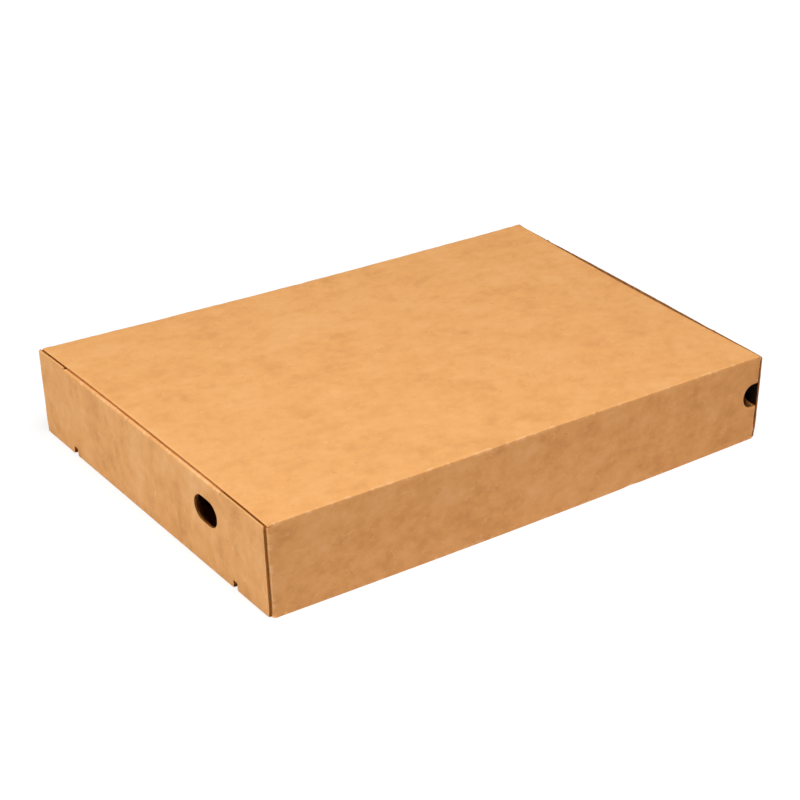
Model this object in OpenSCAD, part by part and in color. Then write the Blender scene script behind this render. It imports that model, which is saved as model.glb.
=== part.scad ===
// Box of fluted kraft board, folded from one die-cut blank: a tray with rolled end walls and a hinged lid.
// Millimetres, +Z up. The origin is the middle of the underside. The hinge wall is on the -Y side.

/* [Outer size] */
// Length over the two end walls
box_l = 332; // [240:1:420]
// Depth over the hinge wall and the front wall
box_w = 210; // [180:1:280]
// Height with the lid closed
box_h = 50; // [46:1:90]

/* [Board] */
// Thickness of the fluted board
board_t = 1.5; // [1.2:0.1:1.8]
// Inner radius of a creased fold
fold_r = 0.5; // [0.3:0.1:0.8]
// Gap between two layers of an end wall
layer_gap = 0.2; // [0.1:0.05:0.3]
// Clearance between the lid and the tray
lid_gap = 0.3; // [0.3:0.05:0.6]

/* [End walls] */
// Distance from the front corner to the rolled inner panel
roll_front = 26; // [16:1:36]
// Distance from the hinge corner to the rolled inner panel
roll_rear = 38; // [20:1:39]
// Drop of the outer panel's cut edge beside the roll
edge_drop = 0.8; // [0.4:0.1:2]
// Reach of the corner tabs held inside the end walls
tab_l = 78; // [70:1:85]
// Length of a corner tab's top edge that stays level with its wall
tab_level = 7; // [3:0.5:9]
// Drop of the rest of a corner tab below the top of its wall
tab_drop = 3; // [2.5:0.5:5]
// Cut-off at a corner tab's free corners
tab_chamfer = 9; // [4:1:12]
// Distance from a corner to the start of a lock tab
lock_in = 41; // [40:1:46]
// Width of a lock tab
lock_w = 20; // [14:1:24]
// Play round a lock tab in its floor slot
lock_play = 0.25; // [0.15:0.05:0.4]

/* [Crease notches] */
// Distance from a corner to the middle of a notch
notch_in = 30; // [22:1:36]
// Width of a notch
notch_w = 2.6; // [2:0.2:4]
// Height of a notch
notch_h = 3; // [2:0.2:4]

/* [Lid] */
// Height of the tuck flap below the lid's top
tuck_h = 32; // [20:1:36]
// Distance from the lid's end to the end of the tuck flap
tuck_in = 6; // [5:0.5:12]
// Narrowing of the tuck flap towards its free edge, at each end
tuck_taper = 7; // [3:0.5:12]
// Radius of the tuck flap's free corners
tuck_corner_r = 12; // [6:1:16]

/* [Vents] */
// Length of a vent along its wall
vent_l = 20; // [15:0.5:24]
// Height of a vent
vent_h = 14; // [9:0.5:15]
// Distance from the hinge corner to the middle of an end wall vent
vent_in = 52.5; // [50:0.5:56]
// Height of the end wall vents above the underside
vent_z = 31; // [20:0.5:34]
// Height of the corner vent above the underside
corner_vent_z = 27; // [20:0.5:34]

/* [Hidden] */

$fn = 64;
KRAFT = [0.85, 0.64, 0.41];
OVER = 1;                                   // how far a cutter runs past what it cuts
LAP = 1;                                    // how far one shape runs on inside the shape it joins
ARC_STEPS = 12;                             // sides of a free corner's arc

half_l = box_l / 2;
half_w = box_w / 2;
bend_r = fold_r + board_t;                  // outer radius of a fold
wall_h = box_h - board_t - lid_gap;         // top of every wall
floor_x = half_l - bend_r;                  // where the floor's end creases start
floor_y = half_w - bend_r;                  // where the floor's side creases start
layer_pitch = board_t + layer_gap;
tab_x = half_l - layer_pitch;               // outer face of a corner tab
inner_x = tab_x - layer_pitch;              // outer face of a rolled inner panel
room_x = inner_x - board_t;                 // inner face of an end wall
edge_y = half_w - layer_gap;                // upright cut edge of an outer end panel
roll_y0 = roll_rear - half_w;
roll_y1 = half_w - roll_front;
roll_z = board_t + layer_gap;               // bottom of a rolled inner panel
lock_y = half_w - lock_in - lock_w;
notch_y = half_w - notch_in - notch_w / 2;
fold_loss = bend_r * (2 - PI / 2);          // square corner's length, less the way round the fold

hinge_y = board_t / 2 - half_w;             // hinge axis, in the middle of the lid's board
hinge_z = box_h - board_t / 2;
tuck_y = half_w - board_t - lid_gap;        // outer face of the tuck flap at its fold
tuck_half = tab_x - tuck_in;
// The tuck flap leans in by what its free edge would swing out, so that it clears the front wall.
swing_r = tuck_y - hinge_y;
tuck_z = box_h - bend_r;                    // axis of the tuck flap's fold
tuck_fall = tuck_h - bend_r;                // from that axis to the free edge
tuck_swing = swing_r - sqrt(swing_r * swing_r - tuck_h * tuck_h);

// Section of a quarter fold about the origin, from the +X side round to the +Y side
module bend_section() {
    intersection() {
        difference() {
            circle(r = bend_r);
            circle(r = fold_r);
        }
        square(bend_r);
    }
}

// Section of the same fold with a strip of the flat panel at each of its two ends
module joined_bend() {
    bend_section();
    translate([fold_r, -LAP]) square([board_t, LAP]);
    translate([-LAP, fold_r]) square([LAP, board_t]);
}

// Runs an X-Z section along Y, from y0 to y1
module along_y(y0, y1) {
    translate([0, y1, 0]) rotate([90, 0, 0]) linear_extrude(height = y1 - y0) children();
}

// Runs a Y-Z section along X, from x0 to x1
module along_x(x0, x1) {
    translate([x0, 0, 0]) rotate([90, 0, 90]) linear_extrude(height = x1 - x0) children();
}

// Draws its children at both ends of the box
module both_ends() {
    for (end = [0, 1]) mirror([end, 0, 0]) children();
}

// Draws its children at both long sides of the box
module both_sides() {
    for (side = [0, 1]) mirror([0, side, 0]) children();
}

// Outline of a vent about the origin: straight sides and round ends
module vent_section() {
    straight = vent_l - vent_h;
    square([straight, vent_h], center = true);
    for (end = [-1, 1]) translate([end * straight / 2, 0]) circle(d = vent_h);
}

// Cutter for an end wall vent, through every layer
module end_vent() {
    along_x(room_x - OVER, half_l + OVER) translate([vent_in - half_w, vent_z]) vent_section();
}

// Cutter for the vent across the corner fold, as punched in the wall and in its tab
module corner_vent() {
    along_y(-half_w - OVER, bend_r - half_w)
        translate([tab_x - fold_loss / 2, corner_vent_z]) vent_section();
    along_x(tab_x - bend_r, tab_x + layer_gap / 2)
        translate([fold_loss / 2 - half_w, corner_vent_z]) vent_section();
}

// Cutter for the notch where a floor slot reaches the bottom crease
module crease_notch() {
    translate([inner_x, notch_y, -OVER]) cube([half_l - inner_x + OVER, notch_w, notch_h + OVER]);
}

// Cutter for a floor slot, from the notch to the far side of its lock tab
module floor_slot() {
    slot_y = lock_y - lock_play;
    translate([room_x - lock_play, slot_y, -OVER])
        cube([board_t + 2 * lock_play, notch_y + notch_w - slot_y, board_t + 2 * OVER]);
}

// Floor between its four bottom creases, with corners relieved by the die
module floor_panel() {
    translate([-floor_x, -floor_y, 0]) cube([2 * floor_x, 2 * floor_y, board_t]);
}

// Section of an outer end panel with its bottom crease, up to the height top
module outer_section(top) {
    translate([floor_x, bend_r]) mirror([0, 1]) bend_section();
    translate([half_l - board_t, bend_r]) square([board_t, top - bend_r]);
}

// Section of the roll: two creases over the top, and the inner panel down to the floor
module roll_section() {
    translate([half_l - bend_r, wall_h - bend_r]) bend_section();
    translate([half_l - board_t, wall_h - bend_r - LAP]) square([board_t, LAP]);
    translate([room_x + bend_r, wall_h - bend_r]) mirror([1, 0]) bend_section();
    translate([room_x + bend_r, wall_h - board_t])
        square([half_l - room_x - 2 * bend_r, board_t]);
    translate([room_x, roll_z]) square([board_t, wall_h - bend_r - roll_z]);
}

// Section where an outer end panel's bottom crease joins the floor
module floor_join() {
    translate([floor_x, bend_r]) mirror([0, 1]) joined_bend();
}

// Tab under the inner panel, through its floor slot
module lock_tab() {
    translate([room_x, lock_y, layer_gap]) cube([board_t, lock_w, roll_z + LAP - layer_gap]);
}

module end_wall() {
    difference() {
        union() {
            along_y(-floor_y, floor_y) floor_join();
            along_y(-edge_y, edge_y) outer_section(wall_h - bend_r);
            along_y(-edge_y, roll_y0) outer_section(wall_h - edge_drop);
            along_y(roll_y1, edge_y) outer_section(wall_h - edge_drop);
            along_y(roll_y0, roll_y1) roll_section();
            both_sides() lock_tab();
        }
        end_vent();
        both_sides() crease_notch();
    }
}

// Corner tab at the +X end of the wall on the -Y side
module corner_tab() {
    tab_top = wall_h - tab_drop;
    translate([tab_x - bend_r, bend_r - half_w, bend_r])
        linear_extrude(height = wall_h - bend_r) rotate(-90) joined_bend();
    along_x(tab_x - board_t, tab_x) translate([-half_w, 0]) polygon([
        [bend_r, bend_r],
        [tab_l - tab_chamfer, bend_r],
        [tab_l, bend_r + tab_chamfer],
        [tab_l, tab_top - tab_chamfer],
        [tab_l - tab_chamfer, tab_top],
        [tab_level + tab_drop, tab_top],
        [tab_level, wall_h],
        [bend_r, wall_h]
    ]);
}

// Long wall on the -Y side with its bottom crease and its two corner tabs
module long_wall() {
    wall_x = tab_x - bend_r;
    along_x(-wall_x, wall_x) {
        translate([bend_r - half_w, bend_r]) rotate(180) joined_bend();
        translate([-half_w, bend_r]) square([board_t, wall_h - bend_r]);
    }
    both_ends() corner_tab();
}

module tray() color(KRAFT) {
    difference() {
        floor_panel();
        both_ends() both_sides() {
            floor_slot();
            crease_notch();
        }
    }
    both_ends() end_wall();
    difference() {
        both_sides() long_wall();
        corner_vent();
        both_ends() end_vent();
    }
}

// Section of the tuck flap about its fold's axis: the fold, and the flap leaning in below it
module tuck_section() {
    bend_section();
    translate([-LAP, fold_r]) square([LAP, board_t]);
    polygon([
        [fold_r, 0],
        [bend_r, 0],
        [bend_r - tuck_swing, -tuck_fall],
        [fold_r - tuck_swing, -tuck_fall]
    ]);
}

// Outline of the tuck flap as seen from the front, hanging from the origin
module tuck_outline() {
    slope = atan(tuck_taper / tuck_fall);
    cut = tuck_corner_r * tan((90 - slope) / 2);    // from the corner to where its arc starts
    centre = [tuck_half - tuck_taper - cut, tuck_corner_r - tuck_fall];
    arc = [for (i = [0:ARC_STEPS]) let (a = -90 + (90 - slope) * i / ARC_STEPS)
        centre + tuck_corner_r * [cos(a), sin(a)]];
    right = concat(arc, [[tuck_half, 0]]);
    left = [for (i = [len(right) - 1:-1:0]) [-right[i][0], right[i][1]]];
    polygon(concat(right, left));
}

// Cutter that shapes the tuck flap's ends and free corners
module tuck_trim() {
    along_y(0, half_w) translate([0, tuck_z]) difference() {
        translate([-half_l, -tuck_h]) square([box_l, tuck_h]);
        tuck_outline();
    }
}

module lid() color(KRAFT) {
    fold_y = tuck_y - bend_r;
    translate([-tab_x, hinge_y, box_h - board_t]) cube([2 * tab_x, fold_y - hinge_y, board_t]);
    translate([-tab_x, hinge_y, hinge_z]) rotate([0, 90, 0]) cylinder(d = board_t, h = 2 * tab_x);
    both_ends() translate([tuck_half, fold_y - LAP, box_h - board_t])
        cube([tuck_in, bend_r + LAP - layer_gap, board_t]);
    difference() {
        along_x(-tuck_half, tuck_half) translate([fold_y, tuck_z]) tuck_section();
        tuck_trim();
    }
}

tray();
lid();
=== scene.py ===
"""A closed box of brown fluted board, folded in code from one blank, on a white ground."""

import math

import bmesh
import bpy
import numpy as np
from mathutils import Matrix, Vector, noise
from mathutils.geometry import delaunay_2d_cdt


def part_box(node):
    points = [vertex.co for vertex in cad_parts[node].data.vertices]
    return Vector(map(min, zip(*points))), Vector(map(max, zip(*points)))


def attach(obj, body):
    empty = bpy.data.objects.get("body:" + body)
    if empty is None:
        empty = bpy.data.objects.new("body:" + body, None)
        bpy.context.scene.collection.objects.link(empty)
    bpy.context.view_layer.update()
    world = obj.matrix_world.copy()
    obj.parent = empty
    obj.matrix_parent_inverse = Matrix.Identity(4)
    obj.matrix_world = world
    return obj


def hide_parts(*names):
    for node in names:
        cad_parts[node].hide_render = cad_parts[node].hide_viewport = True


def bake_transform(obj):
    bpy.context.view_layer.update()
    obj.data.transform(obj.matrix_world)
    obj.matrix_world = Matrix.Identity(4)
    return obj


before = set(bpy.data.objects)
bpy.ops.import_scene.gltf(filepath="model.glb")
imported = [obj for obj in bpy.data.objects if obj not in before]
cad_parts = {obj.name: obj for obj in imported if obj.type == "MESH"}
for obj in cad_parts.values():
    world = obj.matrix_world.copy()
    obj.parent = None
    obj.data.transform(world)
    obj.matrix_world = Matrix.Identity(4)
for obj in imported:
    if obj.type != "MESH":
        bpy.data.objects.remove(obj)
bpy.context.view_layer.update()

MM = 0.001
FAR = 10.0                              # longer than anything here, in metres
RIGHT_ANGLE = math.pi / 2

# Sizes of the box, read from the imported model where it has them
TRAY_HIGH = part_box("tray")[1]
LID_LOW, LID_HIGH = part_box("lid")
HALF_L, HALF_W, WALL_TOP = TRAY_HIGH
LID_HALF, LID_TOP = LID_HIGH.x, LID_HIGH.z

# The board, and how it folds
BOARD = 1.5 * MM
HINGE = Vector((0, -HALF_W, LID_TOP)) + Vector((0, BOARD / 2, -BOARD / 2))
FOLD_R = 0.1 * MM                       # inner radius of a fold
MID_R = FOLD_R + BOARD / 2
BEND_R = FOLD_R + BOARD
QUARTER = MID_R * RIGHT_ANGLE           # length of board in a quarter fold
FOLD_STEPS = 6

# End walls, from the box's corners
PITCH = HALF_L - LID_HALF               # from one layer of an end wall to the next
ROLL_FRONT = HALF_W - 26 * MM
ROLL_REAR = HALF_W - 38 * MM
SLIT = 0.15 * MM                        # width of the cuts at a roll's ends
LEFT_RISE = 1.1 * MM                    # raw top edges of the end walls beyond their rolls
FAR_RIGHT_RISE = 0.4 * MM
NEAR_RIGHT_RISE = 0.7 * MM
EDGE_ROUND = 0.8 * MM                   # radius at their outer ends
EDGE_Y = HALF_W - 0.4 * MM              # side edge of an end wall
EDGE_TAPER = 0.4 * MM                   # how far it leans back up to its top
EDGE_FOOT = 0.6 * MM                    # and how far it is cut back at the floor
FOOT_HEIGHT = 4 * MM                    # from this height down
NEAR_LEFT_TRIM = 1.0 * MM               # how much narrower the near left one is
TAB_REACH = 78 * MM
TAB_LEVEL = 7 * MM
TAB_DROP = 3 * MM
TAB_CHAMFER = 9 * MM
LOCK_Y = HALF_W - 61 * MM
LOCK_W = 20 * MM
LOCK_DEEP = 1.5 * MM
LOCK_PLAY = 0.25 * MM
NOTCH_Y = HALF_W - 30 * MM
NOTCH_W = 3.4 * MM
NOTCH_H = 4.2 * MM

# Lid's tuck flap
TUCK_IN = 6 * MM
TUCK_TAPER = 7 * MM
TUCK_CORNER = 12 * MM
SHOULDER = 1.2 * MM

# Vents
VENT_L, VENT_H = 20 * MM, 14 * MM
VENT_Y = HALF_W - 52.5 * MM
VENT_Z = 31 * MM
VENT_WIDER = 1.5 * MM                   # how far each inner layer's opening clears the one outside it
CORNER_VENT_Z = 27 * MM
VENT_STEPS = 14                         # in each round end

# Flat stretches between folds
FLOOR_X, FLOOR_Y = HALF_L - BEND_R, HALF_W - BEND_R
WALL_X = LID_HALF - BEND_R
END_FLAT = WALL_TOP - 2 * BEND_R
ROLL_FLAT = 2 * PITCH + BOARD - 2 * BEND_R
INNER_FLAT = WALL_TOP - BEND_R - PITCH
HINGE_FLAT = LID_TOP - 2 * BEND_R
LID_FLAT = LID_HIGH.y + HALF_W - 2 * BEND_R
TUCK_FALL = LID_TOP - LID_LOW.z - BEND_R
TUCK_SWING = LID_HIGH.y - HINGE.y
TUCK_LEAN = math.atan((TUCK_SWING - math.sqrt(TUCK_SWING**2 - (LID_TOP - LID_LOW.z) ** 2)) / TUCK_FALL)

# Places in the flat blank: u runs along the box and v across it, from the middle of the floor
U_WALL = FLOOR_X + QUARTER
U_ROLL = U_WALL + END_FLAT
U_EDGE = U_WALL + WALL_TOP - BEND_R
U_INNER = U_ROLL + 2 * QUARTER + ROLL_FLAT
U_FREE = U_INNER + INNER_FLAT
U_TAB = WALL_X + QUARTER
U_TAB_END = U_TAB + TAB_REACH - BEND_R
V_WALL = FLOOR_Y + QUARTER
V_CORNER = FLOOR_Y + 0.3 * QUARTER      # where the corner's skin starts, in the fold under a long wall
V_TAB = max(V_WALL, EDGE_Y) + 0.2 * MM
V_SLIT = (EDGE_Y + V_TAB) / 2
U_CORNER = FLOOR_X - 0.2 * MM
SKIN_FOOT = 0.15 * MM                   # height of the lower edge of that skin
V_FRONT = V_WALL + WALL_TOP - BEND_R
V_HINGE = V_WALL + HINGE_FLAT
V_LID = V_HINGE + QUARTER
V_TUCK = V_LID + LID_FLAT
V_FLAP = V_TUCK + MID_R * (RIGHT_ANGLE + TUCK_LEAN)
V_END = V_FLAP + TUCK_FALL / math.cos(TUCK_LEAN)
SEAM = 3.0 * MM - BEND_R                # from the hinge fold to where the pieces of the model part
V_SEAM = V_HINGE - SEAM
V_LID_SEAM = V_LID + SEAM
V_TAB_TOP = V_HINGE + 0.15 * QUARTER    # corner of a tab, in the hinge fold
V_RELIEF = V_HINGE + 0.25 * QUARTER     # corner of the lid above it
TUCK_HALF = LID_HALF - TUCK_IN

# Spacing of the mesh
STEP_ALONG = 2.8 * MM
STEP_UP = 4.0 * MM

# Cut edges: liners stand a little proud of the fluted core
LINER = 0.2 * MM
RECESS = 0.12 * MM
CRUSH = 0.16 * MM                       # how far each liner is pressed in at a cut edge
LID_CRUSH = 0.42 * MM                   # the same at the lid's sides, which rest on the end walls
PINCH = 0.5 * MM                        # and at the end walls' raw top edges
CRUSH_REACH = 0.6 * MM
SHARP_LIMIT = 0.6                       # keeps the inset of a sharp corner short
FLUTE_PITCH = 3.3                       # in millimetres
FLUTE_HEIGHT = 0.45 * MM                # of the wave, to either side of the board's middle


def walk(distance, flats, turns):
    """Place and heading after a distance along a strip: flats[0], a fold by turns[0], flats[1], ..."""
    left = np.array(distance, float)
    x, y, heading = np.zeros((3, len(left)))
    for flat, turn in zip(flats, list(turns) + [0]):
        step = np.clip(left, 0, flat)
        x += step * np.cos(heading)
        y += step * np.sin(heading)
        left = left - flat
        angle = np.clip(left / MID_R, 0, turn)
        x += MID_R * (np.sin(heading + angle) - np.sin(heading))
        y += MID_R * (np.cos(heading) - np.cos(heading + angle))
        heading += angle
        left = left - MID_R * turn
    return x, y, heading


def fold(blank):
    """Folds points of the blank's middle surface into the box: their places and outward normals."""
    u, v = blank.T
    side_u, side_v = np.where(u < 0, -1, 1), np.where(v < 0, -1, 1)
    across_u, across_v = abs(u), abs(v)
    zero = np.zeros(len(u))

    # The strip from front to back: floor, long walls, lid and tuck flap
    quarter = RIGHT_ANGLE
    routes = [
        (v >= 0, (FLOOR_Y, FAR), (quarter,)),
        (v < 0, (FLOOR_Y, HINGE_FLAT, LID_FLAT, FAR), (quarter, quarter, quarter + TUCK_LEAN)),
        ((v < -V_TUCK) & (across_u > TUCK_HALF + SLIT / 2), (FLOOR_Y, HINGE_FLAT, FAR), (quarter, quarter)),
    ]
    out, up, turn = np.zeros((3, len(u)))
    for chosen, flats, turns in routes:
        out[chosen], up[chosen], turn[chosen] = walk(across_v[chosen], flats, turns)
    place = np.stack([u, side_v * out, up + BOARD / 2], 1)
    normal = np.stack([zero, side_v * np.sin(turn), -np.cos(turn)], 1)

    # The strip from end to end: floor and end walls, which roll over between their slits
    ends = (across_u > FLOOR_X) & (across_v < V_SLIT)
    rolled = (v < ROLL_FRONT + SLIT / 2) & (v > -ROLL_REAR - SLIT / 2)
    routes = [
        (ends & ~rolled, (FLOOR_X, FAR), (quarter,)),
        (ends & rolled, (FLOOR_X, END_FLAT, ROLL_FLAT, FAR), (quarter,) * 3),
    ]
    for chosen, flats, turns in routes:
        out, up, turn = walk(across_u[chosen], flats, turns)
        place[chosen] = np.stack([side_u[chosen] * out, v[chosen], up + BOARD / 2], 1)
        normal[chosen] = np.stack([side_u[chosen] * np.sin(turn), zero[chosen], -np.cos(turn)], 1)

    # Corner tabs turn in from the ends of the long walls
    beside_wall = (across_v > (FLOOR_Y + V_CORNER) / 2) & (v > -(V_TAB_TOP + V_RELIEF) / 2)
    tabs = (across_u > WALL_X) & beside_wall & ~ends
    out, deep, turn = walk(across_u[tabs], (WALL_X, FAR), (quarter,))
    place[tabs, 0] = side_u[tabs] * out
    foot = tabs & (across_v < V_WALL)
    place[foot, 1] = side_v[foot] * (HALF_W - BOARD / 2)
    place[foot, 2] = SKIN_FOOT + (BEND_R - SKIN_FOOT) * (across_v[foot] - V_CORNER) / (V_WALL - V_CORNER)
    place[tabs, 1] -= side_v[tabs] * deep
    normal[tabs] = np.stack([side_u[tabs] * np.sin(turn), side_v[tabs] * np.cos(turn), zero[tabs]], 1)
    return place, normal


def quarter_round(corner_u, corner_v, radius):
    """Points that round an outer corner of the blank, for u and v above 0."""
    turns = [RIGHT_ANGLE * i / 4 for i in range(5)]
    middle_u, middle_v = corner_u - radius, corner_v - radius
    return [(middle_u + radius * math.cos(a), middle_v + radius * math.sin(a)) for a in turns]


def end_corner(roll, rise, trim=0.0):
    """Outline of the blank from an end wall's inner panel to the floor's corner, for u and v above 0."""
    edge = EDGE_Y - trim
    return [
        (U_FREE, LOCK_Y),
        (U_FREE + LOCK_DEEP, LOCK_Y),
        (U_FREE + LOCK_DEEP, LOCK_Y + LOCK_W),
        (U_FREE, LOCK_Y + LOCK_W),
        (U_FREE, roll),
        (U_ROLL - SLIT, roll),
        (U_ROLL - SLIT, roll + SLIT),
        (U_EDGE + rise, roll + SLIT),
    ] + quarter_round(U_EDGE + rise, edge - EDGE_TAPER, EDGE_ROUND) + [
        (U_WALL + FOOT_HEIGHT, edge),
        (FLOOR_X, edge - EDGE_FOOT),
        (FLOOR_X, FLOOR_Y),
        (WALL_X, FLOOR_Y),
        (WALL_X, V_CORNER),
        (U_CORNER, V_CORNER),
        (U_CORNER, V_TAB),
    ]


def tab_corner(top):
    """Outline of a corner tab, from its fold's lower end to its fold's upper end at the height top."""
    tab_top = V_WALL + WALL_TOP - TAB_DROP - BEND_R
    level = U_TAB + TAB_LEVEL - BEND_R
    return [
        (U_TAB_END - TAB_CHAMFER, V_TAB),
        (U_TAB_END, V_TAB + TAB_CHAMFER),
        (U_TAB_END, tab_top - TAB_CHAMFER),
        (U_TAB_END - TAB_CHAMFER, tab_top),
        (level + TAB_DROP, tab_top),
        (level, top),
        (WALL_X, top),
    ]


def mirrored(points, across_u=False, across_v=False):
    """The points on the blank's other side, in an order that keeps the outline running the same way."""
    flip_u, flip_v = -1 if across_u else 1, -1 if across_v else 1
    turned = [(flip_u * u, flip_v * v) for u, v in points]
    return turned[::-1] if across_u != across_v else turned


def tray_outline():
    rear_top = tab_corner(V_TAB_TOP) + [(WALL_X, V_SEAM)]
    front_right = end_corner(ROLL_FRONT, FAR_RIGHT_RISE) + tab_corner(V_FRONT)
    front_left = end_corner(ROLL_FRONT, LEFT_RISE) + tab_corner(V_FRONT)
    rear_left = end_corner(ROLL_REAR, LEFT_RISE, NEAR_LEFT_TRIM) + rear_top
    rear_right = end_corner(ROLL_REAR, NEAR_RIGHT_RISE) + rear_top
    return (
        front_right
        + mirrored(front_left, across_u=True)
        + mirrored(rear_left, across_u=True, across_v=True)
        + mirrored(rear_right, across_v=True)
    )


def crease_outline():
    side = [(WALL_X, V_SEAM), (WALL_X, V_RELIEF), (LID_HALF, V_RELIEF), (LID_HALF, V_LID_SEAM)]
    return mirrored(side, across_v=True) + mirrored(side, across_u=True, across_v=True)


def lid_outline():
    fall = V_END - V_FLAP
    slope = math.atan(TUCK_TAPER / fall)
    cut = TUCK_CORNER * math.tan((RIGHT_ANGLE - slope) / 2)
    centre_u, centre_v = TUCK_HALF - TUCK_TAPER - cut, V_END - TUCK_CORNER
    arc = [slope + (RIGHT_ANGLE - slope) * i / 12 for i in range(13)]
    side = [
        (LID_HALF, V_LID_SEAM),
        (LID_HALF, V_TUCK + SHOULDER),
        (TUCK_HALF + SLIT, V_TUCK + SHOULDER),
        (TUCK_HALF + SLIT, V_TUCK),
        (TUCK_HALF, V_TUCK),
        (TUCK_HALF, V_FLAP),
    ] + [(centre_u + TUCK_CORNER * math.cos(a), centre_v + TUCK_CORNER * math.sin(a)) for a in arc]
    return mirrored(side, across_v=True) + mirrored(side, across_u=True, across_v=True)


def vent(centre_u, centre_v, along_u, wider=0.0):
    """Outline of a vent with straight sides and round ends."""
    straight, radius = (VENT_L - VENT_H) / 2, VENT_H / 2 + wider
    points = []
    for end in (1, -1):
        for i in range(VENT_STEPS + 1):
            angle = -RIGHT_ANGLE + math.pi * i / VENT_STEPS
            along = end * (straight + radius * math.cos(angle))
            over = end * radius * math.sin(angle)
            step = (along, over) if along_u else (-over, along)
            points.append((centre_u + step[0], centre_v + step[1]))
    return points


def tray_holes():
    slot_x = LID_HALF - PITCH - BOARD - LOCK_PLAY
    notch_x = LID_HALF - PITCH
    slot = [
        (slot_x, LOCK_Y - LOCK_PLAY),
        (slot_x + BOARD + 2 * LOCK_PLAY, LOCK_Y - LOCK_PLAY),
        (slot_x + BOARD + 2 * LOCK_PLAY, NOTCH_Y - NOTCH_W / 2),
        (U_WALL + NOTCH_H - BEND_R, NOTCH_Y - NOTCH_W / 2),
        (U_WALL + NOTCH_H - BEND_R, NOTCH_Y + NOTCH_W / 2),
        (slot_x, NOTCH_Y + NOTCH_W / 2),
    ]
    holes = [slot] + [mirrored(slot, *way) for way in ((True, False), (True, True), (False, True))]
    for end in (-1, 1):
        holes.append(vent(end * (U_WALL + VENT_Z - BEND_R), -VENT_Y, False))
        holes.append(vent(end * (U_INNER + WALL_TOP - BEND_R - VENT_Z), -VENT_Y, False, 2 * VENT_WIDER))
        in_tab = U_TAB + HALF_W - VENT_Y - BEND_R
        holes.append(vent(end * in_tab, -(V_WALL + VENT_Z - BEND_R), True, VENT_WIDER))
    holes.append(vent(WALL_X + QUARTER / 2, -(V_WALL + CORNER_VENT_Z - BEND_R), True))
    return holes


def spaced(start, end, step):
    """Values from start to end, about a step apart."""
    return np.linspace(start, end, max(2, int(round(abs(end - start) / step)) + 1))


def folded(start, turn=RIGHT_ANGLE):
    """Values across a fold that starts there."""
    return start + np.linspace(0, MID_R * turn, FOLD_STEPS + 1)


def both(values):
    return np.concatenate([-np.asarray(values), np.asarray(values)])


def tray_lines():
    """Lines that the tray's blank is meshed along: (u, u, v, v) for each."""
    lines = []
    for u in spaced(-WALL_X, WALL_X, STEP_ALONG):
        lines.append((u, u, -V_HINGE, V_FRONT))
    end_panels = [folded(FLOOR_X), spaced(U_WALL, U_ROLL, STEP_UP), folded(U_ROLL)]
    end_panels += [folded(U_ROLL + QUARTER + ROLL_FLAT), spaced(U_INNER, U_FREE, STEP_UP)]
    for u in both(np.concatenate(end_panels)):
        lines.append((u, u, -EDGE_Y, EDGE_Y))
    for v in spaced(-FLOOR_Y, FLOOR_Y, STEP_ALONG):
        lines.append((-U_FREE, U_FREE, v, v))
    for v in both(np.concatenate([folded(FLOOR_Y), spaced(V_WALL, V_HINGE, STEP_UP)])):
        lines.append((-U_TAB_END, U_TAB_END, v, v))
    for u in both(np.concatenate([folded(WALL_X), spaced(U_TAB, U_TAB_END, STEP_UP)])):
        lines.append((u, u, V_CORNER, V_FRONT))
        lines.append((u, u, -V_HINGE, -V_CORNER))
    return lines


def crease_lines():
    lines = [(u, u, -V_LID_SEAM, -V_SEAM) for u in spaced(-WALL_X, WALL_X, STEP_ALONG)]
    return lines + [(-LID_HALF, LID_HALF, -v, -v) for v in folded(V_HINGE)]


def lid_lines():
    panels = [
        spaced(V_LID_SEAM, V_TUCK, STEP_UP),
        folded(V_TUCK, RIGHT_ANGLE + TUCK_LEAN),
        spaced(V_FLAP, V_END, STEP_UP),
    ]
    lines = [(u, u, -V_END, -V_LID_SEAM) for u in spaced(-WALL_X, WALL_X, STEP_ALONG)]
    return lines + [(-LID_HALF, LID_HALF, -v, -v) for v in np.concatenate(panels)]


def inset(loop, distance):
    """The closed loop moved to its left by a distance, with sharp corners kept short."""
    points = np.array(loop)
    along = np.roll(points, -1, 0) - points
    along /= np.linalg.norm(along, axis=1)[:, None]
    left = np.stack([-along[:, 1], along[:, 0]], 1)
    corner = left + np.roll(left, 1, 0)
    corner /= np.maximum((corner**2).sum(1), SHARP_LIMIT)[:, None] / 2
    return points + corner * distance


def turning(loop):
    """The loop's area, above 0 where it runs anticlockwise."""
    x, y = np.array(loop).T
    return (x * np.roll(y, -1) - np.roll(x, -1) * y).sum() / 2


def inside(points, loops):
    """Which points lie inside an odd number of the loops."""
    result = np.zeros(len(points), bool)
    for loop in loops:
        ends = np.array(loop)
        for (ax, ay), (bx, by) in zip(ends, np.roll(ends, -1, 0)):
            spans = (ay > points[:, 1]) != (by > points[:, 1])
            if ay != by:
                result ^= spans & (points[:, 0] < ax + (points[:, 1] - ay) * (bx - ax) / (by - ay))
    return result


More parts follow.
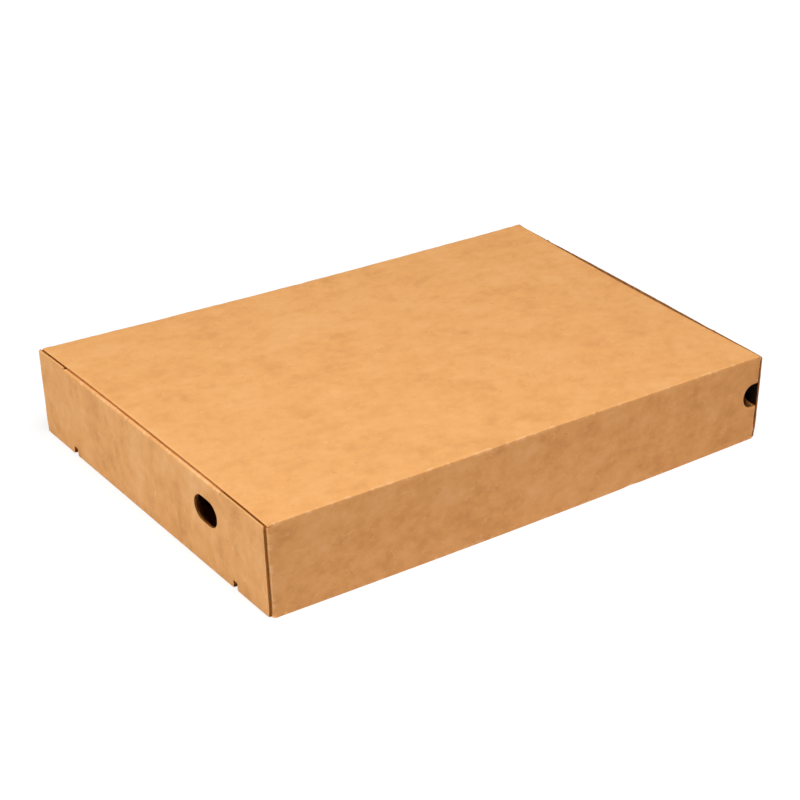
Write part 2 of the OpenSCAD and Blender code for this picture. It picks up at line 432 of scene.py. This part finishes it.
def flat_mesh(outline, holes, lines):
    """Triangles that fill the outline less its holes, with edges along the lines: points and corners."""
    loops = [outline if turning(outline) > 0 else outline[::-1]]
    loops += [hole if turning(hole) < 0 else hole[::-1] for hole in holes]
    points, edges = [], []
    for loop in loops + [inset(loop, CRUSH_REACH) for loop in loops]:
        first = len(points)
        points += [tuple(p) for p in loop]
        edges += [(first + i, first + (i + 1) % len(loop)) for i in range(len(loop))]
    for u0, u1, v0, v1 in lines:
        edges.append((len(points), len(points) + 1))
        points += [(u0, v0), (u1, v1)]
    in_mm = [Vector((u / MM, v / MM)) for u, v in points]
    found, _, corners = delaunay_2d_cdt(in_mm, edges, [], 0, 1e-5, False)[:3]
    found = np.array([tuple(p) for p in found]) * MM
    corners = np.array([c for c in corners if len(c) == 3])
    corners = corners[inside(found[corners].mean(1), loops)]
    x, y = found[corners].transpose(2, 0, 1)
    area = (x[:, 1] - x[:, 0]) * (y[:, 2] - y[:, 0]) - (x[:, 2] - x[:, 0]) * (y[:, 1] - y[:, 0])
    corners[area < 0] = corners[area < 0][:, ::-1]
    used, corners = np.unique(corners, return_inverse=True)
    return found[used], corners.reshape(-1, 3)


def rim_edges(corners):
    """Directed edges that belong to one triangle only, with the board on their left."""
    edges = {tuple(edge) for a, b, c in corners.tolist() for edge in ((a, b), (b, c), (c, a))}
    return [(a, b) for a, b in sorted(edges) if (b, a) not in edges]


def on_seam(point):
    """Whether a rim edge with its middle there is where two pieces of the model meet."""
    u, v = abs(point[0]), -point[1]
    across = abs(v - V_SEAM) < 0.01 * MM or abs(v - V_LID_SEAM) < 0.01 * MM
    return across or (abs(u - WALL_X) < 0.01 * MM and V_SEAM < v < V_HINGE)


# How far each corner stands from square, in millimetres, by (left or right, near or far, low or high)
CORNERS = {
    (0, 0, 0): (1.0, -4.4, 0),
    (1, 0, 0): (0.1, -1.7, 0),
    (0, 1, 0): (2.0, -1.7, 0),
    (1, 1, 0): (-0.5, -1.5, 0),
    (0, 0, 1): (-2.1, -0.3, 0.2),
    (1, 0, 1): (0.5, 1.6, 0),
    (0, 1, 1): (-2.3, 0.5, 0.5),
    (1, 1, 1): (1.3, -0.7, 0.6),
}
NEAR_BULGE = 1.6 * MM                   # hinge wall's foot, outwards
NEAR_KINK = 0.5 * MM                    # dent in it
KINK_X, KINK_REACH = 68 * MM, 4 * MM
RIGHT_BULGE = 0.5 * MM                  # right end wall's top, outwards
ROLL_SWELL = 0.4 * MM                   # and the step of its roll at the slits
RIGHT_LIFT = 0.8 * MM                   # outer side of that roll, which stands up
RIGHT_SINK = 0.9 * MM                   # its inner side, pressed down by the lid
FLARE = 0.3 * MM                        # near corner of that wall, away from the tab behind it
LID_SINK = 0.9 * MM                     # lid's right edge, downwards
LID_SHORT = 0.8 * MM                    # and inwards
LEFT_ARCH = 0.7 * MM                    # lid's left edge, upwards
LEFT_BOW = 0.3 * MM                     # and inwards
FAR_SAG = 1.4 * MM                      # lid's far edge, downwards

# Unevenness of the panels: height, size and seed
WARPS = ((0.22 * MM, 70 * MM, 3), (0.05 * MM, 14 * MM, 5))
WARP_FROM = 4 * MM                      # none at the floor, all of it from this height
LUMPS = ((0.16 * MM, 9 * MM, 7), (0.08 * MM, 3.5 * MM, 9))
LUMPS_FROM = 1 * MM
CREASE_REACH = 1.2 * MM                 # how far from a fold its liner is creased

# How nearly each fold's outer liner comes to a sharp corner, from 0 for round to 1
SHARP_END, SHARP_LONG, SHARP_HINGE, SHARP_TUCK = 0.8, 0.9, 0.75, 0.6
SHARP_ROLL, SHARP_SLIT = 0.2, 0.9       # a roll's fold, along it and at its slits
SLIT_REACH = 4 * MM
SHARP_TAB, SHARP_FOOT = 0.45, 0.9       # an upright corner, along it and at the floor
FOOT_REACH = 12 * MM


def arch(t):
    return 4 * t * (1 - t)


def ease(value, start, end):
    t = np.clip((value - start) / (end - start), 0, 1)
    return t * t * (3 - 2 * t)


def wander(points, size, seed):
    """Smooth noise vectors at the points, about 1 long at most."""
    shift = Vector((seed, 2.3 * seed, 4.1 * seed))
    return np.array([noise.noise_vector(Vector(p) / size + shift) for p in points.tolist()])


def within_front_slit(v):
    return ease(-v, -ROLL_FRONT - SLIT, -ROLL_FRONT + SLIT)


def within_rear_slit(v):
    return ease(v, -ROLL_REAR - SLIT, -ROLL_REAR + SLIT)


def tray_shift(place, tx, ty, tz):
    """How the tray alone has settled: a bowed hinge wall, and a right end wall whose roll stands up."""
    x, y, z = place.T
    shift = np.zeros_like(place)
    kink = NEAR_KINK * np.exp(-(((x - KINK_X) / KINK_REACH) ** 2))
    near = ease(-y, 70 * MM, HALF_W)
    shift[:, 1] = -(NEAR_BULGE * arch(tx) - kink) * (1 - tz) ** 2 * near

    right = ease(x, 155 * MM, 161 * MM)
    in_roll = within_rear_slit(y) * within_front_slit(y)
    outer_face = HALF_L - BOARD
    shift[:, 0] = (RIGHT_BULGE * arch(ty) + ROLL_SWELL * in_roll) * tz**1.5 * right
    outside = ease(x, outer_face - 0.6 * MM, outer_face + 0.5 * MM)
    lift = -RIGHT_SINK + (RIGHT_SINK + RIGHT_LIFT) * outside
    shift[:, 2] = lift * in_roll * arch(ty) * ease(z, 30 * MM, 47 * MM) * right
    outer_layer = ease(x, outer_face - 0.15 * MM, outer_face - 0.05 * MM)
    shift[:, 0] += FLARE * outer_layer * ease(z, 1 * MM, 14 * MM) * ease(-y, 72 * MM, 98 * MM)
    return shift


def lid_shift(place, ty):
    """How the lid alone has settled: its right edge lies lower and further in."""
    to_right = ease(place[:, 0], 110 * MM, LID_HALF) * arch(ty)
    return to_right[:, None] * np.array([-LID_SHORT, 0, -LID_SINK])


def settle(place, normal, crease, of_tray):
    """Moves folded points to where the used box has settled: leaning walls, bowed edges and soft folds."""
    x, y, z = place.T
    tx = np.clip((x / HALF_L + 1) / 2, 0, 1)
    ty = np.clip((y / HALF_W + 1) / 2, 0, 1)
    tz = np.clip(z / LID_TOP, 0, 1)
    moved = np.array(place)
    for (right, far, high), shift in CORNERS.items():
        weight = (tx if right else 1 - tx) * (ty if far else 1 - ty) * (tz if high else 1 - tz)
        moved += weight[:, None] * np.array(shift) * MM
    left_edge = arch(ty) * (1 - tx) ** 2 * tz
    moved[:, 2] += LEFT_ARCH * left_edge
    moved[:, 0] += LEFT_BOW * left_edge
    moved[:, 2] -= FAR_SAG * arch(tx) * ty**2 * tz
    moved += tray_shift(place, tx, ty, tz) if of_tray else lid_shift(place, ty)
    for height, size, seed in WARPS:
        moved += height * wander(place, size, seed) * np.clip(z / WARP_FROM, 0, 1)[:, None]
    lumps = sum(height * wander(place, size, seed)[:, 0] for height, size, seed in LUMPS)
    moved += normal * (crease * lumps * np.clip(z / LUMPS_FROM, 0, 1))[:, None]
    moved[:, 2] = np.maximum(moved[:, 2], 0)
    return moved


def from_fold(blank):
    """Distance from each point of the blank to the nearest fold's middle, and how sharp that fold is."""
    u, v = abs(blank[:, 0]), blank[:, 1]
    half = QUARTER / 2
    nearest, sharpness = np.full(len(u), FAR), np.zeros(len(u))
    ends = (abs(v) < V_SLIT) & (u > WALL_X)
    rolled = ends & (v < ROLL_FRONT + SLIT / 2) & (v > -ROLL_REAR - SLIT / 2)
    walls = u < U_TAB
    tabs = (abs(v) > (FLOOR_Y + V_CORNER) / 2) & (v > -V_RELIEF) & ~ends
    upright = SHARP_TAB + (SHARP_FOOT - SHARP_TAB) * ease(-abs(v), -V_WALL - FOOT_REACH, -V_WALL)
    to_slit = np.minimum(ROLL_FRONT - v, v + ROLL_REAR)
    roll = SHARP_ROLL + (SHARP_SLIT - SHARP_ROLL) * ease(-to_slit, -SLIT_REACH, 0)
    for where, value, middle, sharp in (
        (ends, u, FLOOR_X + half, SHARP_END),
        (rolled, u, U_ROLL + half, roll),
        (rolled, u, U_INNER - half, SHARP_ROLL),
        (walls, abs(v), FLOOR_Y + half, SHARP_LONG),
        (walls, -v, V_HINGE + half, SHARP_HINGE),
        (walls & (u < TUCK_HALF + SLIT / 2), -v, (V_TUCK + V_FLAP) / 2, SHARP_TUCK),
        (tabs, u, WALL_X + half, upright),
    ):
        distance = abs(value - middle)
        closer = where & (distance < nearest)
        nearest = np.where(closer, distance, nearest)
        sharpness = np.where(closer, sharp, sharpness)
    return nearest, sharpness


def painted_roll_shade(blank):
    """Where painted shade darkens the liner along the right end wall's top, but for its far corner."""
    u, v = blank.T
    over = ease(u, U_ROLL - 0.1 * MM, U_ROLL + 0.2 * MM) * ease(-u, -U_INNER, QUARTER / 2 - U_INNER)
    return over * ease(v, -EDGE_Y, 8 * MM - EDGE_Y) * within_front_slit(v)


def enclosed(blank, offset):
    """Where the board's inner face lies against the corner tabs, out of the light."""
    u, v = abs(blank).T
    by_tab = (u > U_WALL) & (u < U_ROLL) & (v > HALF_W - 20 * MM) & (v < V_SLIT)
    return (by_tab & (offset < 0)).astype(float)


def pressed(blank):
    """How far each liner is pressed in at the rim's points."""
    u, v = abs(blank[:, 0]), blank[:, 1]
    rolled = (v < ROLL_FRONT + SLIT / 2) & (v > -ROLL_REAR - SLIT / 2)
    raw_top = (u > U_EDGE - EDGE_ROUND) & (abs(v) < V_SLIT) & ~rolled
    lid_side = (v < -V_HINGE) & (v > -V_TUCK)
    return np.where(raw_top, PINCH, np.where(lid_side, LID_CRUSH, CRUSH))


def cut_edges(blank, rim, seam):
    """Which points of the blank lie on a cut edge, and the way from each into the board."""
    is_cut = np.zeros(len(blank), bool)
    inward = np.zeros_like(blank)
    for a, b in rim:
        if not seam[a, b]:
            along = blank[b] - blank[a]
            inward[[a, b]] += np.array([-along[1], along[0]]) / np.linalg.norm(along)
            is_cut[[a, b]] = True
    inward /= np.maximum((inward**2).sum(1), SHARP_LIMIT)[:, None] / 2
    return is_cut, inward


def through_board(blank, is_cut, inward):
    """Rows of points from the outer face to the inner one.

    Each is (place in the blank, folded place, normal, offset). The first and last are the faces, and the
    four between run along the cut edges, with the core set back.
    """
    rim_blank = blank[is_cut]
    core_blank = rim_blank + inward[is_cut] * RECESS
    place, normal = fold(blank)
    core_place, core_normal = fold(core_blank)
    rim_place, rim_normal = place[is_cut], normal[is_cut]
    full = (BOARD / 2 - is_cut * pressed(blank))[:, None]
    lip = full[is_cut] - LINER
    return [
        (blank, place, normal, full),
        (rim_blank, rim_place, rim_normal, lip),
        (core_blank, core_place, core_normal, lip),
        (core_blank, core_place, core_normal, -lip),
        (rim_blank, rim_place, rim_normal, -lip),
        (blank, place, normal, -full),
    ]


def edge_faces(rim, seam, is_cut, starts):
    """Faces round the board's rim: five bands where it is cut, and one flat face where two pieces meet."""
    order = np.cumsum(is_cut) - 1
    last = len(starts) - 1

    def point(vertex, row):
        return int(starts[row] + (vertex if row in (0, last) else order[vertex]))

    faces = []
    for a, b in rim:
        if seam[a, b]:
            down = [point(b, row) for row in range(last + 1) if row in (0, last) or is_cut[b]]
            up = [point(a, row) for row in range(last, -1, -1) if row in (0, last) or is_cut[a]]
            faces.append(tuple(down + up))
        else:
            for row in range(last):
                faces.append((point(a, row), point(b, row), point(b, row + 1), point(a, row + 1)))
    return faces


def store(mesh, name, values):
    """Keeps a number or a vector for each point, for the materials."""
    kind, field = ("FLOAT", "value") if values.ndim == 1 else ("FLOAT_VECTOR", "vector")
    attribute = mesh.attributes.new(name, kind, "POINT")
    attribute.data.foreach_set(field, values.astype(np.float32).ravel())


def board_piece(name, outline, holes, lines, of_tray):
    """A folded piece of board: both faces, and cut edges whose core lies back between the liners."""
    blank, corners = flat_mesh(outline, holes, lines)
    rim = rim_edges(corners)
    seam = {edge: on_seam((blank[edge[0]] + blank[edge[1]]) / 2) for edge in rim}
    is_cut, inward = cut_edges(blank, rim, seam)
    rows = through_board(blank, is_cut, inward)
    flat_points, folded_points, normals, offsets = (np.concatenate(parts) for parts in zip(*rows))
    points = folded_points + normals * offsets

    # Outer liners drawn towards a sharp corner at the folds, then the whole piece settled
    distance, sharpness = from_fold(flat_points)
    crease = np.exp(-((distance / CREASE_REACH) ** 2))
    corner = 1 / np.cos(np.clip((QUARTER / 2 - distance) / MID_R, 0, RIGHT_ANGLE / 2)) - 1
    outer = np.clip(offsets[:, 0] / (BOARD / 2), 0, 1)
    points += normals * (sharpness * BEND_R * corner * outer)[:, None]
    points = settle(points, normals, crease, of_tray)

    starts = np.cumsum([0] + [len(row[0]) for row in rows[:-1]])
    faces = [tuple(c[::-1]) for c in corners.tolist()]
    faces += [tuple(c) for c in (corners + starts[-1]).tolist()]
    plain = len(faces)
    faces += edge_faces(rim, seam, is_cut, starts)

    mesh = bpy.data.meshes.new(name)
    mesh.from_pydata(points.tolist(), [], faces)
    mesh.polygons.foreach_set("material_index", [0] * plain + [1] * (len(faces) - plain))
    store(mesh, "blank", np.concatenate([flat_points, offsets], 1))
    store(mesh, "crease", crease)
    # painted shade along the right end wall's roll
    store(mesh, "painted_roll_shade", painted_roll_shade(flat_points))
    store(mesh, "enclosed", enclosed(flat_points, offsets[:, 0]))
    join_triangles(mesh)
    mesh.polygons.foreach_set("use_smooth", [True] * len(mesh.polygons))
    mesh.set_sharp_from_angle(angle=math.radians(38))
    piece = bpy.data.objects.new(name, mesh)
    bpy.context.scene.collection.objects.link(piece)
    return piece


def join_triangles(mesh):
    """Pairs the triangles of the flat panels into rectangles."""
    work = bmesh.new()
    work.from_mesh(mesh)
    triangles = [face for face in work.faces if len(face.verts) == 3]
    limits = {"angle_face_threshold": math.radians(20), "angle_shape_threshold": math.radians(25)}
    bmesh.ops.join_triangles(work, faces=triangles, **limits)
    work.to_mesh(mesh)
    work.free()


def add_node(tree, kind, inputs, output=0, **settings):
    """Adds a node with its settings and inputs, each a value or another output, and returns its output."""
    node = tree.nodes.new(kind)
    for name, value in settings.items():
        setattr(node, name, value)
    for key, value in inputs.items():
        if isinstance(value, bpy.types.NodeSocket):
            tree.links.new(value, node.inputs[key])
        else:
            node.inputs[key].default_value = value
    return node.outputs[output]


def maths(tree, operation, first, second=0.5):
    return add_node(tree, "ShaderNodeMath", {0: first, 1: second}, operation=operation)


def times(tree, first, second):
    return maths(tree, "MULTIPLY", first, second)


def larger(tree, first, second):
    return maths(tree, "MAXIMUM", first, second)


def attribute(tree, name):
    """A number stored on the mesh."""
    return add_node(tree, "ShaderNodeAttribute", {}, "Fac", attribute_name=name)


def mix_colours(tree, factor, first, second):
    inputs = {0: factor, 6: first, 7: second}
    return add_node(tree, "ShaderNodeMix", inputs, 2, data_type="RGBA")


def ramp(tree, value, low, high, to_low=0.0, to_high=1.0):
    """The value's range from low to high, spread over another range and kept inside it."""
    inputs = {"Value": value, "From Min": low, "From Max": high, "To Min": to_low, "To Max": to_high}
    return add_node(tree, "ShaderNodeMapRange", inputs)


def blank_millimetres(tree):
    """Place in the flat blank in millimetres, with the board's two faces far apart."""
    place = add_node(tree, "ShaderNodeAttribute", {}, "Vector", attribute_name="blank")
    return add_node(tree, "ShaderNodeVectorMath", {0: place, 1: (1000, 1000, 60000)}, operation="MULTIPLY")


def grain(tree, place, size, detail=3.0, roughness=0.55, stretch=(1, 1), turn=0.0, seed=0.0):
    """Noise from 0 to 1 whose features are about size millimetres across, longer along a turned axis."""
    inputs = {"Vector": place, "Location": (100 * seed, 70 * seed, 30 * seed), "Rotation": (0, 0, turn)}
    inputs["Scale"] = (size * stretch[0], size * stretch[1], size)
    moved = add_node(tree, "ShaderNodeMapping", inputs, vector_type="TEXTURE")
    inputs = {"Vector": moved, "Scale": 1, "Detail": detail, "Roughness": roughness}
    return add_node(tree, "ShaderNodeTexNoise", inputs)


def total(tree, parts):
    """Sum of (value - 0.5) * amount over the parts."""
    result = 0.0
    for value, amount in parts:
        inputs = {0: maths(tree, "SUBTRACT", value, 0.5), 1: amount, 2: result}
        result = add_node(tree, "ShaderNodeMath", inputs, operation="MULTIPLY_ADD")
    return result


# Colours of the liners and of the core, with painted shade and painted light among them
KRAFT = (0.790, 0.388, 0.131, 1)
KRAFT_DARK = (0.560, 0.235, 0.070, 1)
KRAFT_LIGHT = (0.900, 0.520, 0.240, 1)
# painted shade along the right end wall's roll
ROLL_SHADE_COLOUR = (0.270, 0.095, 0.018, 1)
SHADE = (0.020, 0.008, 0.004, 1)
CORE = (0.540, 0.215, 0.045, 1)
# painted shade in the hollows between the flutes
CORE_HOLLOW_SHADE = (0.240, 0.078, 0.013, 1)
# painted light: the lid's cut edges are coloured paler
CORE_LIT_ON_LID = (0.720, 0.330, 0.100, 1)

# How much each kind of mark shows, from 0 to 1
WALL_MOTTLE = 1.5                       # clouds and curls on the hinge wall, beside those on the lid
CLOUD_RANGE = 0.35
DARK_FIBRE, LIGHT_FIBRE, SPECK, CURL, RUB_AND_HIGHLIGHT = 0.35, 0.3, 0.8, 0.32, 0.8
FIBRE_TURNS = (0.25, -0.5, 1.2)


def clouds(tree, place, strength):
    """Mottling of the liner, about 0 in the middle, from hand-wide clouds down to its fine grain."""
    return times(tree, strength, total(tree, [
        (grain(tree, place, 45, seed=3), 0.26),
        (grain(tree, place, 13, stretch=(1.3, 1), seed=11), 0.35),
        (grain(tree, place, 4.5, stretch=(1.4, 1), roughness=0.6, seed=19), 0.26),
        (grain(tree, place, 0.7, detail=2, seed=23), 0.12),
    ]))


def curls(tree, place):
    """Thin curly fibres, which lie in patches."""
    bend = grain(tree, place, 6, detail=1, stretch=(1.6, 1), seed=43)
    line = ramp(tree, maths(tree, "ABSOLUTE", maths(tree, "SUBTRACT", bend, 0.5)), 0.022, 0.006)
    return times(tree, line, ramp(tree, grain(tree, place, 7, detail=1, seed=47), 0.55, 0.62))


def fibres(tree, place):
    """Short straight fibres that lie several ways: the dark ones and the light ones."""
    dark, light = 0.0, 0.0
    for i, turn in enumerate(FIBRE_TURNS):
        streak = grain(tree, place, 0.45, detail=1.5, stretch=(6, 1), turn=turn, seed=31 + 7 * i)
        dark = larger(tree, ramp(tree, streak, 0.66, 0.78), dark)
        light = larger(tree, ramp(tree, streak, 0.34, 0.22), light)
    return dark, light


def rubbed_highlit_folds(tree, place):
    """Pale specks along a fold's ridge: partly rubbed paper, partly a painted highlight."""
    ridge = maths(tree, "POWER", attribute(tree, "crease"), 3.0)
    return times(tree, ridge, ramp(tree, grain(tree, place, 2.2, stretch=(2, 1), seed=61), 0.5, 0.62))


def liner_bump(tree, place):
    """Slight waves and fine lumps of the liner's surface."""
    height = total(tree, [
        (grain(tree, place, 14, detail=2, seed=71), 0.45),
        (grain(tree, place, 4.5, detail=3, seed=77), 0.22),
        (grain(tree, place, 0.8, detail=3, seed=83), 0.04),
    ])
    return add_node(tree, "ShaderNodeBump", {"Height": height, "Distance": 1 * MM, "Strength": 0.4})


def kraft_material():
    """Brown liner: cloudy, with fibres, specks, fine lumps and paler folds that are partly a painted
    highlight, with painted shade on the right end wall's roll and where it lies against the corner tabs.
    """
    material = bpy.data.materials.new("kraft_face")
    material.use_nodes = True
    tree = material.node_tree
    shader = tree.nodes["Principled BSDF"]
    place = blank_millimetres(tree)
    split = tree.nodes.new("ShaderNodeSeparateXYZ")
    tree.links.new(place, split.inputs[0])
    mottled = ramp(tree, split.outputs["Y"], -V_HINGE / MM, -V_HINGE / MM + 1, 1.0, WALL_MOTTLE)
    cloudy = clouds(tree, place, mottled)
    dark_fibre, light_fibre = fibres(tree, place)
    speck = ramp(tree, grain(tree, place, 1.5, detail=1, stretch=(2.2, 1), turn=0.4, seed=53), 0.72, 0.79)

    dark = ramp(tree, cloudy, 0.0, -CLOUD_RANGE)
    dark = larger(tree, dark, times(tree, dark_fibre, DARK_FIBRE))
    dark = larger(tree, dark, times(tree, speck, SPECK))
    light = ramp(tree, cloudy, 0.0, CLOUD_RANGE)
    light = larger(tree, light, times(tree, light_fibre, LIGHT_FIBRE))
    light = larger(tree, light, times(tree, curls(tree, place), times(tree, mottled, CURL)))
    # Paler fold ridges: partly rubbed paper, partly painted highlight
    light = larger(tree, light, times(tree, rubbed_highlit_folds(tree, place), RUB_AND_HIGHLIGHT))

    # Painted shade along the right end wall's roll, in patches of varying strength
    roll_shade_patches = ramp(tree, grain(tree, place, 3, seed=67), 0.3, 0.5, 0.75, 1.0)
    colour = mix_colours(tree, dark, KRAFT, KRAFT_DARK)
    colour = mix_colours(tree, light, colour, KRAFT_LIGHT)
    colour = mix_colours(tree, times(tree, attribute(tree, "painted_roll_shade"), roll_shade_patches), colour, ROLL_SHADE_COLOUR)
    colour = mix_colours(tree, attribute(tree, "enclosed"), colour, SHADE)
    tree.links.new(colour, shader.inputs["Base Color"])
    shader.inputs["Roughness"].default_value = 0.72
    shader.inputs["Specular IOR Level"].default_value = 0.3
    tree.links.new(liner_bump(tree, place), shader.inputs["Normal"])
    return material


def edge_material():
    """Cut edge: the wavy core's paper with painted shade in the hollows between the flutes, varied by torn
    fibres, and paler on the lid, where painted light lifts it.
    """
    material = bpy.data.materials.new("cut_edge")
    material.use_nodes = True
    tree = material.node_tree
    shader = tree.nodes["Principled BSDF"]
    place = add_node(tree, "ShaderNodeAttribute", {}, "Vector", attribute_name="blank")
    split = tree.nodes.new("ShaderNodeSeparateXYZ")
    tree.links.new(place, split.inputs[0])
    phase = times(tree, split.outputs["X"], 2 * math.pi / (FLUTE_PITCH * MM))
    wave = times(tree, maths(tree, "SINE", phase), FLUTE_HEIGHT)
    away = maths(tree, "ABSOLUTE", maths(tree, "SUBTRACT", split.outputs["Z"], wave))
    between_flutes = ramp(tree, away, 0.10 * MM, 0.24 * MM)
    in_core = ramp(tree, maths(tree, "ABSOLUTE", split.outputs["Z"]), 0.5 * MM, 0.42 * MM)
    torn = grain(tree, blank_millimetres(tree), 0.9, detail=3, seed=5)
    # Painted shade in the hollows between the flutes, varied by the torn fibres' noise
    flute_shade = times(tree, times(tree, between_flutes, in_core), ramp(tree, torn, 0.35, 0.6, 0.35, 1.0))
    colour = mix_colours(tree, flute_shade, CORE, CORE_HOLLOW_SHADE)
    # Painted light: the lid's cut edges coloured paler, as if more lit
    on_lid = ramp(tree, split.outputs["Y"], -V_HINGE, -V_LID, 0.0, 0.8)
    colour = mix_colours(tree, on_lid, colour, CORE_LIT_ON_LID)
    tree.links.new(colour, shader.inputs["Base Color"])
    shader.inputs["Roughness"].default_value = 0.9
    shader.inputs["Specular IOR Level"].default_value = 0.2
    bump = add_node(tree, "ShaderNodeBump", {"Height": torn, "Distance": 0.2 * MM, "Strength": 0.5})
    tree.links.new(bump, shader.inputs["Normal"])
    return material


def make_pieces():
    tray = board_piece("tray_board", tray_outline(), tray_holes(), tray_lines(), True)
    crease = board_piece("hinge_crease", crease_outline(), [], crease_lines(), False)
    lid = board_piece("lid_board", lid_outline(), [], lid_lines(), False)
    kraft, edge = kraft_material(), edge_material()
    for piece in (tray, crease, lid):
        piece.data.materials.append(kraft)
        piece.data.materials.append(edge)
    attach(tray, "tray")
    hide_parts("tray")
    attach(lid, "lid")
    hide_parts("lid")
    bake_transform(crease)


# Camera, from the seven corners of the box that the photo shows
AZIMUTH, ELEVATION, ROLL = 39.797, 28.168, 4.128
CAMERA_PLACE = Vector((-643.46, -766.3, 556.19)) * MM
FOCAL_PIXELS, FRAME_PIXELS, SENSOR = 2077.9, 800, 36


def add_camera():
    data = bpy.data.cameras.new("camera")
    data.sensor_width = SENSOR
    data.lens = FOCAL_PIXELS / FRAME_PIXELS * SENSOR
    data.clip_end = 100
    camera = bpy.data.objects.new("camera", data)
    turn = Matrix.Rotation(-math.radians(AZIMUTH), 4, "Z")
    tilt = Matrix.Rotation(math.radians(90 - ELEVATION), 4, "X")
    roll = Matrix.Rotation(math.radians(ROLL), 4, "Z")
    camera.matrix_world = Matrix.Translation(CAMERA_PLACE) @ turn @ tilt @ roll
    bpy.context.scene.collection.objects.link(camera)
    bpy.context.scene.camera = camera


def add_area(name, place, size, power, colour):
    """A square lamp at a place, turned to the box."""
    data = bpy.data.lights.new(name, "AREA")
    data.size = size
    data.energy = power
    data.color = colour
    lamp = bpy.data.objects.new(name, data)
    lamp.location = place
    lamp.rotation_euler = (-Vector(place)).to_track_quat("-Z", "Y").to_euler()
    bpy.context.scene.collection.objects.link(lamp)


# Lamps: name, place, size and power in watts, and colour
LAMPS = (
    ("overhead", (-0.12, -0.29, 1.25), 0.7, 15.1, (1, 1, 1)),
    ("left", (-1.3, 0.12, 0.45), 0.8, 8.6, (1, 1, 1)),
    ("front", (0.6, -1.25, 0.6), 0.8, 3.5, (1, 0.63, 0.38)),
)
FILL = 0.06                             # light from all round
FLOOR_WHITE = 0.65                      # what the floor throws back
FLOOR_GLOW = 0.75                       # share of plain white beside the box
GLOW_STRENGTH = 1.08
FLOOR_REACH = 6.0
SHADOW_FROM, SHADOW_TO = 0.22, 0.36     # distances over which the ground turns to plain white


def add_world():
    world = bpy.data.worlds.new("studio")
    world.use_nodes = True
    nodes, links = world.node_tree.nodes, world.node_tree.links
    fill = nodes["Background"]
    fill.inputs["Color"].default_value = (1, 1, 1, 1)
    fill.inputs["Strength"].default_value = FILL
    white = nodes.new("ShaderNodeBackground")
    white.inputs["Color"].default_value = (1, 1, 1, 1)
    white.inputs["Strength"].default_value = 1
    path = nodes.new("ShaderNodeLightPath")
    mix = nodes.new("ShaderNodeMixShader")
    links.new(path.outputs["Is Camera Ray"], mix.inputs["Fac"])
    links.new(fill.outputs["Background"], mix.inputs[1])
    links.new(white.outputs["Background"], mix.inputs[2])
    links.new(mix.outputs["Shader"], nodes["World Output"].inputs["Surface"])
    bpy.context.scene.world = world


def add_floor():
    """White floor that the camera sees as plain white, but for the box's soft shadow."""
    corners = [(FLOOR_REACH * x, FLOOR_REACH * y, 0) for x, y in ((-1, -1), (1, -1), (1, 1), (-1, 1))]
    mesh = bpy.data.meshes.new("floor")
    mesh.from_pydata(corners, [], [(0, 1, 2, 3)])
    floor = bpy.data.objects.new("floor", mesh)
    floor.location.z = -0.05 * MM
    material = bpy.data.materials.new("white_floor")
    material.use_nodes = True
    tree = material.node_tree
    paint = tree.nodes["Principled BSDF"]
    paint.inputs["Roughness"].default_value = 1
    paint.inputs["Specular IOR Level"].default_value = 0
    to_camera = add_node(tree, "ShaderNodeLightPath", {}, "Is Camera Ray")
    albedo = ramp(tree, to_camera, 0, 1, FLOOR_WHITE, 1.0)
    tree.links.new(mix_colours(tree, albedo, (0, 0, 0, 1), (1, 1, 1, 1)), paint.inputs["Base Color"])
    place = add_node(tree, "ShaderNodeTexCoord", {}, "Object")
    away = add_node(tree, "ShaderNodeVectorMath", {0: place}, "Value", operation="LENGTH")
    share = times(tree, to_camera, ramp(tree, away, SHADOW_FROM, SHADOW_TO, FLOOR_GLOW, 1.0))
    glow = add_node(tree, "ShaderNodeEmission", {"Strength": GLOW_STRENGTH})
    mixed = add_node(tree, "ShaderNodeMixShader", {0: share, 1: paint.outputs[0], 2: glow})
    tree.links.new(mixed, tree.nodes["Material Output"].inputs["Surface"])
    mesh.materials.append(material)
    bpy.context.scene.collection.objects.link(floor)


make_pieces()
add_camera()
add_world()
add_floor()
for lamp in LAMPS:
    add_area(*lamp)
bpy.context.scene.view_settings.view_transform = "Standard"
